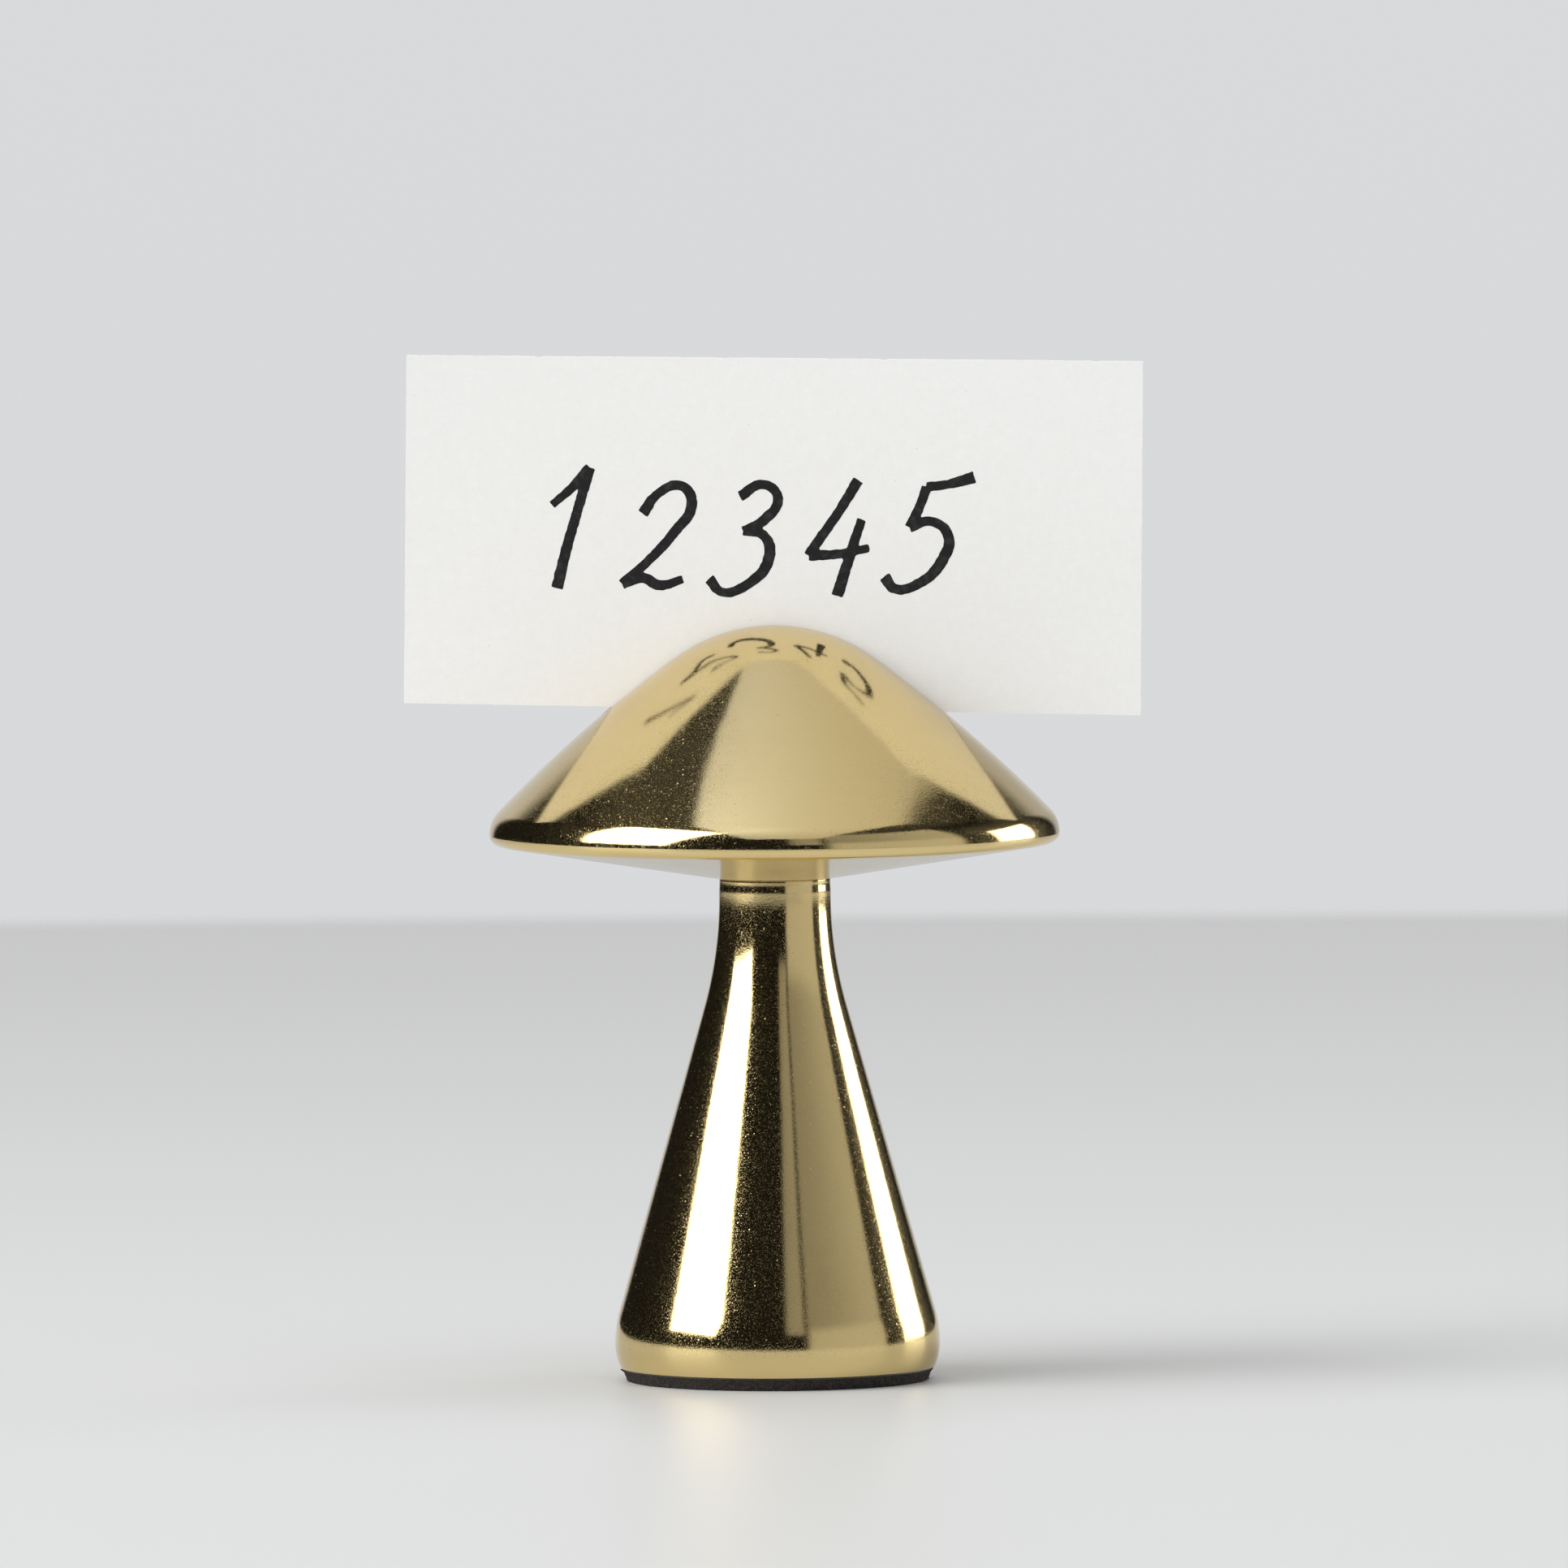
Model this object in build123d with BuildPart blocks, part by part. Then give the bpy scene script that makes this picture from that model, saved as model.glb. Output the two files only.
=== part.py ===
"""Mushroom-shaped place card holder: a slotted cap screwed to a flared stem, on a foam pad, with its card."""

import os

from build123d import *

# Driving dimensions, in millimetres. Heights build up from the table, and the card's face looks towards -Y.

# Foot: a foam pad on a film of adhesive
pad_thickness = 0.95
pad_inset = 0.2  # from the edge of the stem's flat underside in to the pad's upper edge
pad_edge_lean = 0.45  # how far the die-cut edge leans in on its way down
adhesive_thickness = 0.15

# Stem: foot rounding, hip, straight taper, flare and neck
stem_height = 41.1
base_radius = 13.65
base_widest_height = 2.0  # above the stem's underside
foot_inset = 0.45  # from the widest radius in to the edge of the flat underside
hip_radius = 10.3
flare_radius = 34.4
neck_radius = 4.7
neck_length = 1.3  # straight stretch below the cap
neck_edge_radius = 0.45

# Cap: crown, flank and rim arcs over a shallow cone
cap_height = 21.3
cap_radius = 23.95
cap_widest_height = 3.8  # above the seat on the stem
crown_radius = 14.1
flank_radius = 114.0
rim_radius = 2.7
rim_edge_radius = 0.85

# Card
card_width = 62.4
card_height = 30.4
card_thickness = 0.4

# Card slot, sawn across the crown
slot_depth = 7.45
slot_clearance = 0.3  # on each face of the card
slot_lip_radius = 0.15

# Screw, M4 pan head
thread_radius = 2.0
thread_engagement = 7.6
thread_clearance = 0.03
tap_runout = 1.4  # tapped hole past the screw's tip
tip_chamfer = 0.4
head_radius = 4.0
head_height = 3.1
head_crown = 1.2  # height of the domed part of the head
head_setback = 0.6  # from the stem's underside up to the head
recess_span = 4.2
recess_width = 0.9
recess_depth = 1.7

# Washers under the head
flat_washer_radius = 4.5
flat_washer_thickness = 0.8
spring_washer_radius = 3.8
spring_washer_thickness = 0.9
split_width = 0.6
split_slant = 20.0  # degrees
bore_clearance = 0.15
counterbore_clearance = 0.5

# Levels
stem_bottom = pad_thickness + adhesive_thickness
base_level = stem_bottom + base_widest_height
seat = stem_bottom + stem_height
flare_level = seat - neck_length
rim_level = seat + cap_widest_height
apex = seat + cap_height
slot_floor = apex - slot_depth
head_bottom = stem_bottom + head_setback
bearing = head_bottom + head_height
flat_washer_bottom = bearing + spring_washer_thickness
washer_seat = flat_washer_bottom + flat_washer_thickness
screw_tip = seat + thread_engagement

# Radii and widths that follow from the ones above
slot_width = card_thickness + 2 * slot_clearance
underside_radius = base_radius - foot_inset
pad_radius = underside_radius - pad_inset
bore_radius = thread_radius + bore_clearance
counterbore_radius = max(head_radius, flat_washer_radius, spring_washer_radius) + counterbore_clearance

# Faces that are drilled from below
stem_underside = Plane((0, 0, stem_bottom), z_dir=(0, 0, -1))
cap_underside = Plane((0, 0, seat), z_dir=(0, 0, -1))

# Foam pad
with BuildPart() as base_pad:
    Cone(
        pad_radius - pad_edge_lean,
        pad_radius,
        pad_thickness,
        align=(Align.CENTER, Align.CENTER, Align.MIN),
    )

# Adhesive film, cut with the pad
with BuildPart() as pad_adhesive:
    with BuildSketch(Plane.XY.offset(pad_thickness)):
        Circle(pad_radius)
    extrude(amount=adhesive_thickness)

# Stem: turned form with a rounded top edge, bored for the screw
with BuildPart() as stem:
    with BuildSketch(Plane.XZ):
        with BuildLine():
            hip_centre = (base_radius - hip_radius, base_level)
            hip_circle = CenterArc(hip_centre, hip_radius, 0, 360, mode=Mode.PRIVATE)
            flare_centre = (neck_radius + flare_radius, flare_level)
            flare_circle = CenterArc(flare_centre, flare_radius, 0, 360, mode=Mode.PRIVATE)
            base_edge = (base_radius, base_level)
            taper = ConstrainedLines(
                hip_circle,
                flare_circle,
                selector=lambda lines: lines.sort_by_distance(base_edge)[0],
            )
            taper_foot, taper_top = taper.vertices().sort_by(Axis.Y)
            TangentArc(base_edge, (underside_radius, stem_bottom), tangent=(0, -1))
            TangentArc(base_edge, taper_foot, tangent=(0, 1))
            TangentArc((neck_radius, flare_level), taper_top, tangent=(0, -1))
            Polyline(
                (neck_radius, flare_level),
                (neck_radius, seat),
                (0, seat),
                (0, stem_bottom),
                (underside_radius, stem_bottom),
            )
        make_face()
    revolve(axis=Axis.Z)
    fillet(stem.edges().group_by(Axis.Z)[-1], neck_edge_radius)
    with Locations(stem_underside):
        CounterBoreHole(bore_radius, counterbore_radius, washer_seat - stem_bottom)

# Cap: turned form, tapped from below, with the card slot sawn across and its lips broken
with BuildPart() as cap:
    with BuildSketch(Plane.XZ):
        with BuildLine():
            crown_centre = (0, apex - crown_radius)
            crown_circle = CenterArc(crown_centre, crown_radius, 0, 360, mode=Mode.PRIVATE)
            rim_centre = (cap_radius - rim_radius, rim_level)
            rim_circle = CenterArc(rim_centre, rim_radius, 0, 360, mode=Mode.PRIVATE)
            edge_centre = (cap_radius - rim_edge_radius, rim_level)
            edge_circle = CenterArc(edge_centre, rim_edge_radius, 0, 360, mode=Mode.PRIVATE)
            flank = ConstrainedArcs(
                (crown_circle, Tangency.ENCLOSING),
                (rim_circle, Tangency.ENCLOSING),
                radius=flank_radius,
                selector=lambda arcs: arcs.sort_by(Axis.Y)[-1],
            )
            flank_top, flank_foot = flank.vertices().sort_by(Axis.X)
            under_cone = ConstrainedLines(
                edge_circle,
                (neck_radius, seat),
                selector=lambda lines: lines.sort_by(Axis.Y)[0],
            )
            cone_edge = under_cone.vertices().sort_by(Axis.X)[-1]
            TangentArc((0, apex), flank_top, tangent=(1, 0))
            TangentArc((cap_radius, rim_level), flank_foot, tangent=(0, 1))
            TangentArc((cap_radius, rim_level), cone_edge, tangent=(0, -1))
            Polyline((neck_radius, seat), (0, seat), (0, apex))
        make_face()
    revolve(axis=Axis.Z)
    with Locations(cap_underside):
        Hole(thread_radius + thread_clearance, depth=thread_engagement + tap_runout)
    with BuildSketch(Plane.XY.offset(slot_floor)):
        Rectangle(2 * cap_radius, slot_width)
    extrude(amount=slot_depth, mode=Mode.SUBTRACT)
    slot_walls = cap.faces().filter_by(Axis.Y)
    fillet(slot_walls.edges().filter_by(GeomType.LINE, reverse=True), slot_lip_radius)

# Screw, head down in the stem's counterbore and tip in the cap
with BuildPart() as cap_screw:
    with BuildSketch(Plane.XZ):
        with BuildLine():
            TangentArc((0, head_bottom), (head_radius, head_bottom + head_crown), tangent=(1, 0))
            Polyline(
                (head_radius, head_bottom + head_crown),
                (head_radius, bearing),
                (thread_radius, bearing),
                (thread_radius, screw_tip),
                (0, screw_tip),
                (0, head_bottom),
            )
        make_face()
    revolve(axis=Axis.Z)
    chamfer(cap_screw.edges().group_by(Axis.Z)[-1], tip_chamfer)
    with BuildSketch(Plane.XY.offset(head_bottom)):
        Rectangle(recess_span, recess_width)
        Rectangle(recess_width, recess_span)
    extrude(amount=recess_depth, mode=Mode.SUBTRACT)

# Split ring, pressed flat under the head
with BuildPart() as spring_washer:
    with BuildSketch(Plane.XY.offset(bearing)):
        Circle(spring_washer_radius)
        Circle(bore_radius, mode=Mode.SUBTRACT)
    extrude(amount=spring_washer_thickness)
    with BuildSketch(Plane.YZ):
        with Locations((0, bearing + spring_washer_thickness / 2)):
            Rectangle(split_width, 2 * spring_washer_thickness, rotation=split_slant)
    extrude(amount=spring_washer_radius, mode=Mode.SUBTRACT)

# Flat washer against the stem
with BuildPart() as flat_washer:
    with BuildSketch(Plane.XY.offset(flat_washer_bottom)):
        Circle(flat_washer_radius)
        Circle(bore_radius, mode=Mode.SUBTRACT)
    extrude(amount=flat_washer_thickness)

# Card, standing on the floor of the slot
with BuildPart() as place_card:
    with BuildSketch(Plane.XZ):
        with Locations((0, slot_floor + card_height / 2)):
            Rectangle(card_width, card_height)
    extrude(amount=card_thickness / 2, both=True)

pieces = {
    "base_pad": base_pad,
    "pad_adhesive": pad_adhesive,
    "stem": stem,
    "cap": cap,
    "cap_screw": cap_screw,
    "spring_washer": spring_washer,
    "flat_washer": flat_washer,
    "place_card": place_card,
}
os.makedirs("parts", exist_ok=True)
for name, piece in pieces.items():
    piece.part.label = name
    export_step(piece.part, f"parts/{name}.step")
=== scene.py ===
"""Studio scene of a mushroom-shaped place card holder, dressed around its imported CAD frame."""

import logging
import math
from abc import ABC, abstractmethod
from dataclasses import dataclass, field
from enum import Enum, IntEnum
from typing import Any, Iterable, Mapping

import bmesh
import bpy
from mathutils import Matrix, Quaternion, Vector, noise
from mathutils.geometry import intersect_sphere_sphere_2d


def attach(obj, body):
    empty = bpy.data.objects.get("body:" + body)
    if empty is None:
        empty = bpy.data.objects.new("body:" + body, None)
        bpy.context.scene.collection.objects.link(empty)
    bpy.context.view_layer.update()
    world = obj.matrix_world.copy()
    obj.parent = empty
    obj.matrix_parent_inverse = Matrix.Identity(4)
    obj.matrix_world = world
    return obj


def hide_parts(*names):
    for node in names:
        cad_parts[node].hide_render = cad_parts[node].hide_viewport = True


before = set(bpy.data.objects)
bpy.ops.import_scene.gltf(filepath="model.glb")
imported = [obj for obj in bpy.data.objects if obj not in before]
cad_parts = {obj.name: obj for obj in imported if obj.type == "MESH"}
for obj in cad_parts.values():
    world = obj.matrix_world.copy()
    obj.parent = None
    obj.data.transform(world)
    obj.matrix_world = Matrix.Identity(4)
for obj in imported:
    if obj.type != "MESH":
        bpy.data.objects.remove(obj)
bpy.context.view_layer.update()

MM = 0.001
MERGE = 1e-4  # millimetres within which two vertices are one
ON_PLANE = 1e-3  # millimetres within which a vertex lies on a plane
LOG = logging.getLogger("place_card_holder")

Colour = tuple[float, float, float, float]
Triple = tuple[float, float, float]
Point = tuple[float, float]
Fractal = tuple[float, float, int]  # roughness, lacunarity and octaves
Stroke = tuple[Triple, ...]
Socket = bpy.types.NodeSocket
Mesh = bmesh.types.BMesh

# Pen strokes of each digit, upright: across and up in millimetres, and the pen's pressure
DIGITS: dict[str, tuple[Stroke, ...]] = {
    "1": (
        ((0.0, 6.9, 0.8), (1.3, 8.3, 0.9), (2.4, 10.0, 1.1)),
        ((2.4, 10.0, 1.1), (2.25, 6.6, 1.0), (2.1, 3.2, 1.05), (2.1, -0.1, 1.2)),
    ),
    "2": (
        (
            (0.3, 6.1, 1.15), (1.2, 7.8, 0.9), (3.0, 8.4, 0.95), (4.2, 6.9, 1.1), (3.3, 4.5, 1.0),
            (1.6, 2.0, 0.9), (0.0, 0.2, 1.0),
        ),
        ((0.0, 0.2, 1.0), (1.6, 0.7, 1.05), (3.2, 0.1, 1.05), (5.0, 0.6, 0.75)),
    ),
    "3": (
        ((0.6, 7.5, 1.1), (2.3, 8.5, 0.9), (3.8, 7.4, 1.0), (3.2, 5.6, 1.05), (1.6, 4.6, 0.9)),
        (
            (1.6, 4.6, 0.9), (3.4, 4.2, 1.0), (4.3, 2.3, 1.15), (3.0, 0.1, 1.0), (1.0, -0.5, 0.9),
            (-0.3, 0.6, 1.1),
        ),
    ),
    "4": (
        ((2.7, 8.8, 1.1), (1.7, 6.1, 0.95), (0.5, 3.5, 1.0), (0.1, 2.5, 1.1)),
        ((0.1, 2.5, 1.1), (2.4, 2.6, 0.9), (5.0, 3.1, 0.8)),
        ((3.8, 5.5, 0.9), (3.55, 2.5, 1.05), (3.3, -0.9, 1.2)),
    ),
    "5": (
        ((1.1, 8.2, 1.0), (0.9, 6.5, 0.95), (0.5, 4.8, 1.05)),
        (
            (0.5, 4.8, 1.0), (2.2, 5.3, 0.9), (3.9, 4.1, 1.05), (3.9, 2.0, 1.15), (2.4, 0.1, 1.0),
            (0.4, -0.3, 0.95), (-0.6, 0.7, 1.15),
        ),
        ((1.1, 8.2, 0.95), (2.8, 8.4, 0.9), (4.9, 9.0, 1.2)),
    ),
}


class Body(str, Enum):
    """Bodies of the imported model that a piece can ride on."""

    HOLDER = "holder"
    CARD = "card"


class Slot(str, Enum):
    """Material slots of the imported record."""

    GOLD = "polished_gold"
    STEEL = "zinc_steel"
    FILM = "adhesive_film"
    FOAM = "black_foam"
    CARD = "card_stock"


class Coat(IntEnum):
    """Places of the finishes in a casting's list of materials, polished gold being the first."""

    SAWN = 1
    UNDER = 2


class Graph:
    """A shader tree that is built from its sources towards its output."""

    def __init__(self, owner: bpy.types.Material | bpy.types.World) -> None:
        """Starts with an empty tree.

        Args:
            owner: the material or world whose nodes are built.
        """
        owner.use_nodes = True
        self.tree = owner.node_tree
        self.tree.nodes.clear()

    def add(
        self, kind: str, inputs: Mapping[str | int, Any], output: str | int = 0, **settings: Any
    ) -> Socket | None:
        """Adds a node and fills its inputs.

        Args:
            kind: the node's class without its ShaderNode prefix.
            inputs: a value or another node's socket for each input, by name or index.
            output: name or index of the output that is wanted.
            settings: properties of the node itself.

        Returns:
            The wanted output socket, or None for a node that has no output.
        """
        node = self.tree.nodes.new("ShaderNode" + kind)
        for name, value in settings.items():
            setattr(node, name, value)
        for key, value in inputs.items():
            if isinstance(value, Socket):
                self.tree.links.new(value, node.inputs[key])
            else:
                node.inputs[key].default_value = value
        return node.outputs[output] if len(node.outputs) else None

    def math(self, operation: str, first: Any, second: Any = 0.0) -> Socket:
        """Adds a Math node of two values."""
        return self.add("Math", {0: first, 1: second}, operation=operation)

    def vector(self, operation: str, first: Any, second: Any = (0.0, 0.0, 0.0)) -> Socket:
        """Adds a Vector Math node of two vectors."""
        return self.add("VectorMath", {0: first, 1: second}, operation=operation)

    def scaled(self, vector: Socket, scale: Any) -> Socket:
        """Scales a vector evenly."""
        return self.add("VectorMath", {0: vector, "Scale": scale}, operation="SCALE")

    def stretch(self, vector: Socket, scale: Triple) -> Socket:
        """Scales a vector along each axis."""
        return self.vector("MULTIPLY", vector, scale)

    def place(self) -> Socket:
        """Gives the place on the piece, in millimetres of the shared frame."""
        return self.scaled(self.add("TexCoord", {}, "Object"), 1 / MM)

    def around_axis(self, place: Socket, around: float, along: float) -> Socket:
        """Gives coordinates for marks that run round the vertical axis, with no seam.

        Args:
            place: place on the piece.
            around: how fast a pattern changes round the axis.
            along: how fast it changes up the axis, per millimetre.

        Returns:
            A vector for a texture.
        """
        flat = self.stretch(place, (1.0, 1.0, 0.0))
        turned = self.scaled(self.vector("NORMALIZE", flat), around)
        return self.vector("ADD", turned, self.stretch(place, (0.0, 0.0, along)))

    def noise(
        self, vector: Socket, scale: float = 1.0, detail: float = 2.0, roughness: float = 0.5
    ) -> Socket:
        """Adds a noise texture and gives its value, around 0.5."""
        inputs = {"Vector": vector, "Scale": scale, "Detail": detail, "Roughness": roughness}
        return self.add("TexNoise", inputs, "Fac")

    def remap(
        self, value: Any, low: float, high: float, to_low: float = 0.0, to_high: float = 1.0
    ) -> Socket:
        """Maps a value from one range to another, smoothly and clamped."""
        inputs = {"Value": value, "From Min": low, "From Max": high, "To Min": to_low, "To Max": to_high}
        return self.add("MapRange", inputs, "Result", interpolation_type="SMOOTHSTEP")

    def mix(self, factor: Any, first: Any, second: Any) -> Socket:
        """Mixes two colours."""
        return self.add("Mix", {0: factor, 6: first, 7: second}, 2, data_type="RGBA")

    def specks(self, place: Socket, scale: float, radius: float, share: float) -> Socket:
        """Gives a mask of scattered round specks.

        Args:
            place: place on the piece.
            scale: cells per millimetre.
            radius: radius of a speck, in cells.
            share: share of the cells that hold one.

        Returns:
            1 in the middle of a speck and 0 outside.
        """
        inputs = {"Vector": place, "Scale": scale}
        distance = self.add("TexVoronoi", inputs, "Distance")
        cell = self.add("TexVoronoi", inputs, "Color")
        chance = self.add("SeparateColor", {0: cell}, 0)
        chosen = self.math("LESS_THAN", chance, share)
        dot = self.remap(distance, radius, 0.3 * radius)
        return self.math("MULTIPLY", dot, chosen)

    def total(self, *terms: tuple[Socket, float]) -> Socket:
        """Adds up values, each times its weight.

        Args:
            terms: pairs of a value and its weight.

        Returns:
            The sum.
        """
        result: Any = 0.0
        for value, weight in terms:
            result = self.add("Math", {0: value, 1: weight, 2: result}, operation="MULTIPLY_ADD")
        return result

    def bump(self, *terms: tuple[Socket, float]) -> Socket:
        """Turns heights, each times its millimetres, into a normal."""
        return self.add("Bump", {"Height": self.total(*terms), "Strength": 1.0, "Distance": MM})


class Finish(ABC):
    """A procedural finish, whose patterns are laid out in millimetres."""

    name: str

    @abstractmethod
    def inputs(self, g: Graph, place: Socket) -> dict[str, Any]:
        """Draws the finish's patterns.

        Args:
            g: the material's tree.
            place: place on the piece.

        Returns:
            Inputs of the Principled shader.
        """

    def material(self) -> bpy.types.Material:
        """Builds the finish on an empty tree.

        Returns:
            The material.
        """
        made = bpy.data.materials.new(self.name)
        g = Graph(made)
        shader = g.add("BsdfPrincipled", self.inputs(g, g.place()))
        g.add("OutputMaterial", {"Surface": shader})
        return made


@dataclass(frozen=True)
class GoldPlate(Finish):
    """Mirror-polished gold plating under a clear lacquer."""

    name: str = "gold_plate"
    tint: Colour = (0.76, 0.592, 0.275, 1.0)
    dull: Colour = (0.64, 0.47, 0.2, 1.0)
    edge: Colour = (0.92, 0.9, 0.86, 1.0)
    coat: float = 0.3
    coat_roughness: float = 0.05
    coat_ior: float = 1.5
    roughness: float = 0.055
    speck_roughness: float = 0.19
    scratch_roughness: float = 0.05
    cloud_roughness: float = 0.02
    stain_roughness: float = 0.12
    scratch_wear: float = 0.35
    stain_wear: float = 0.6
    cloud_wear: float = 0.3
    wave_height: float = 0.04
    peel_height: float = 0.006
    grain_height: float = 0.003
    polish_height: float = 0.0008
    prick_height: float = 0.005
    pit_height: float = 0.012

    def inputs(self, g: Graph, place: Socket) -> dict[str, Any]:
        """Draws polishing waves, peel, grain, turning marks and pits.

        Args:
            g: the material's tree.
            place: place on the piece.

        Returns:
            Inputs of the Principled shader.
        """
        cloud = g.noise(place, scale=0.11, detail=3.0)
        marks = g.noise(g.around_axis(place, around=3.0, along=9.0), detail=3.0, roughness=0.65)
        lines = g.noise(g.around_axis(place, around=7.0, along=16.0), detail=1.0)
        scratch = g.remap(lines, 0.66, 0.74)
        pricks = g.specks(place, scale=5.0, radius=0.32, share=0.1)
        pits = g.specks(place, scale=2.1, radius=0.17, share=0.12)
        stains = g.specks(place, scale=0.42, radius=0.1, share=0.2)
        normal = g.bump(
            (g.noise(place, scale=0.13, detail=0.0), self.wave_height),
            (g.noise(place, scale=0.55, detail=1.0), self.peel_height),
            (g.noise(place, scale=6.5, detail=3.0, roughness=0.6), self.grain_height),
            (marks, self.polish_height),
            (pricks, -self.prick_height),
            (pits, -self.pit_height),
        )
        wear = g.total(
            (scratch, self.scratch_wear),
            (stains, self.stain_wear),
            (g.remap(cloud, 0.52, 0.75), self.cloud_wear),
        )
        grit = g.noise(place, scale=9.0, detail=2.0, roughness=0.6)
        roughness = g.total(
            (g.remap(grit, 0.5, 0.66), self.speck_roughness),
            (scratch, self.scratch_roughness),
            (g.remap(cloud, 0.3, 0.8), self.cloud_roughness),
            (stains, self.stain_roughness),
        )
        return {
            "Base Color": g.mix(wear, self.tint, self.dull),
            "Metallic": 1.0,
            "Roughness": g.math("ADD", roughness, self.roughness),
            "Specular Tint": self.edge,
            "Coat Weight": self.coat,
            "Coat Roughness": self.coat_roughness,
            "Coat IOR": self.coat_ior,
            "Normal": normal,
        }


# Plating below the rim, without lacquer, on the faces that look down: its darker base colour is painted
# shade and its cooler edge tint a painted cool reflection
SHADED_UNDERSIDE = GoldPlate("gold_underside_painted_shade", (0.62, 0.5, 0.26, 1.0), edge=(0.8, 0.81, 0.84, 1.0), coat=0.0)


@dataclass(frozen=True)
class SawnGold(Finish):
    """Plated metal as the saw and the drill left it, with no polish."""

    name: str = "gold_sawn"
    tint: Colour = (0.7, 0.53, 0.24, 1.0)
    dull: Colour = (0.4, 0.28, 0.12, 1.0)
    tooth_height: float = 0.012

    def inputs(self, g: Graph, place: Socket) -> dict[str, Any]:
        """Draws saw lines along the cut and dull spots.

        Args:
            g: the material's tree.
            place: place on the piece.

        Returns:
            Inputs of the Principled shader.
        """
        lines = g.noise(g.stretch(place, (0.25, 1.0, 6.0)))
        cloud = g.noise(place, scale=0.9, detail=3.0)
        return {
            "Base Color": g.mix(g.remap(cloud, 0.35, 0.75), self.tint, self.dull),
            "Metallic": 1.0,
            "Roughness": g.remap(lines, 0.2, 0.8, to_low=0.3, to_high=0.5),
            "Normal": g.bump((lines, self.tooth_height)),
        }


@dataclass(frozen=True)
class ZincSteel(Finish):
    """Bright zinc plating on the screw and its washers."""

    name: str = "zinc_plate"
    tint: Colour = (0.62, 0.63, 0.64, 1.0)
    dull: Colour = (0.45, 0.46, 0.5, 1.0)
    mark_height: float = 0.002

    def inputs(self, g: Graph, place: Socket) -> dict[str, Any]:
        """Draws cloudy zinc with turning marks.

        Args:
            g: the material's tree.
            place: place on the piece.

        Returns:
            Inputs of the Principled shader.
        """
        cloud = g.noise(place, scale=0.6, detail=4.0)
        marks = g.noise(g.around_axis(place, around=2.0, along=5.0))
        return {
            "Base Color": g.mix(g.remap(cloud, 0.35, 0.7), self.tint, self.dull),
            "Metallic": 1.0,
            "Roughness": g.remap(cloud, 0.3, 0.7, to_low=0.24, to_high=0.42),
            "Normal": g.bump((marks, self.mark_height)),
        }


@dataclass(frozen=True)
class AcrylicFilm(Finish):
    """Dark tacky film between the stem and the pad."""

    name: str = "acrylic_film"
    tint: Colour = (0.05, 0.044, 0.038, 1.0)
    pale: Colour = (0.075, 0.066, 0.058, 1.0)
    mottle_height: float = 0.01

    def inputs(self, g: Graph, place: Socket) -> dict[str, Any]:
        """Draws a mottled, half glossy film.

        Args:
            g: the material's tree.
            place: place on the piece.

        Returns:
            Inputs of the Principled shader.
        """
        cloud = g.noise(place, scale=1.4, detail=3.0)
        return {
            "Base Color": g.mix(cloud, self.tint, self.pale),
            "Roughness": g.remap(cloud, 0.3, 0.7, to_low=0.35, to_high=0.55),
            "Normal": g.bump((cloud, self.mottle_height)),
        }


@dataclass(frozen=True)
class FoamRubber(Finish):
    """Black closed-cell foam with a torn, dusty cut edge."""

    name: str = "foam_rubber"
    tint: Colour = (0.017, 0.014, 0.0125, 1.0)
    dust: Colour = (0.1, 0.085, 0.075, 1.0)
    wall_dust: float = 0.2
    crumb_dust: float = 0.65
    specular: float = 0.3
    cell_height: float = 0.07
    crumb_height: float = 0.035

    def inputs(self, g: Graph, place: Socket) -> dict[str, Any]:
        """Draws cut cells with brownish dust on their walls.

        Args:
            g: the material's tree.
            place: place on the piece.

        Returns:
            Inputs of the Principled shader.
        """
        cells = g.add("TexVoronoi", {"Vector": place, "Scale": 6.5}, "Distance")
        crumbs = g.noise(place, scale=9.0, detail=4.0, roughness=0.7)
        dusty = g.total(
            (g.remap(cells, 0.35, 0.8), self.wall_dust),
            (g.remap(crumbs, 0.45, 0.7), self.crumb_dust),
        )
        return {
            "Base Color": g.mix(dusty, self.tint, self.dust),
            "Roughness": g.remap(crumbs, 0.3, 0.7, to_low=0.86, to_high=1.0),
            "Specular IOR Level": self.specular,
            "Normal": g.bump((cells, self.cell_height), (crumbs, self.crumb_height)),
        }


@dataclass(frozen=True)
class CardStock(Finish):
    """Uncoated white card with a faint felt texture."""

    name: str = "card_stock"
    tint: Colour = (0.865, 0.863, 0.852, 1.0)
    shade: Colour = (0.838, 0.834, 0.82, 1.0)
    fleck: Colour = (0.55, 0.52, 0.46, 1.0)
    fleck_weight: float = 0.5
    felt_weight: float = 0.5
    specular: float = 0.25
    felt_height: float = 0.007
    fibre_height: float = 0.0056

    def inputs(self, g: Graph, place: Socket) -> dict[str, Any]:
        """Draws felt marks, crossed fibres and a few flecks.

        Args:
            g: the material's tree.
            place: place on the piece.

        Returns:
            Inputs of the Principled shader.
        """
        felt = g.noise(place, scale=1.1, detail=4.0, roughness=0.6)
        across = g.noise(g.stretch(place, (1.4, 6.0, 7.0)), detail=3.0, roughness=0.6)
        upright = g.noise(g.stretch(place, (7.5, 6.0, 1.2)), detail=3.0, roughness=0.6)
        fibres = g.math("MULTIPLY", across, upright)
        flecks = g.specks(place, scale=0.5, radius=0.07, share=0.16)
        tooth = g.total((felt, self.felt_weight), (fibres, 1.0))
        paper = g.mix(g.remap(tooth, 0.36, 0.72), self.shade, self.tint)
        return {
            "Base Color": g.mix(g.math("MULTIPLY", flecks, self.fleck_weight), paper, self.fleck),
            "Roughness": g.remap(fibres, 0.15, 0.4, to_low=0.82, to_high=0.96),
            "Specular IOR Level": self.specular,
            "Normal": g.bump((felt, self.felt_height), (fibres, self.fibre_height)),
        }


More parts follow.
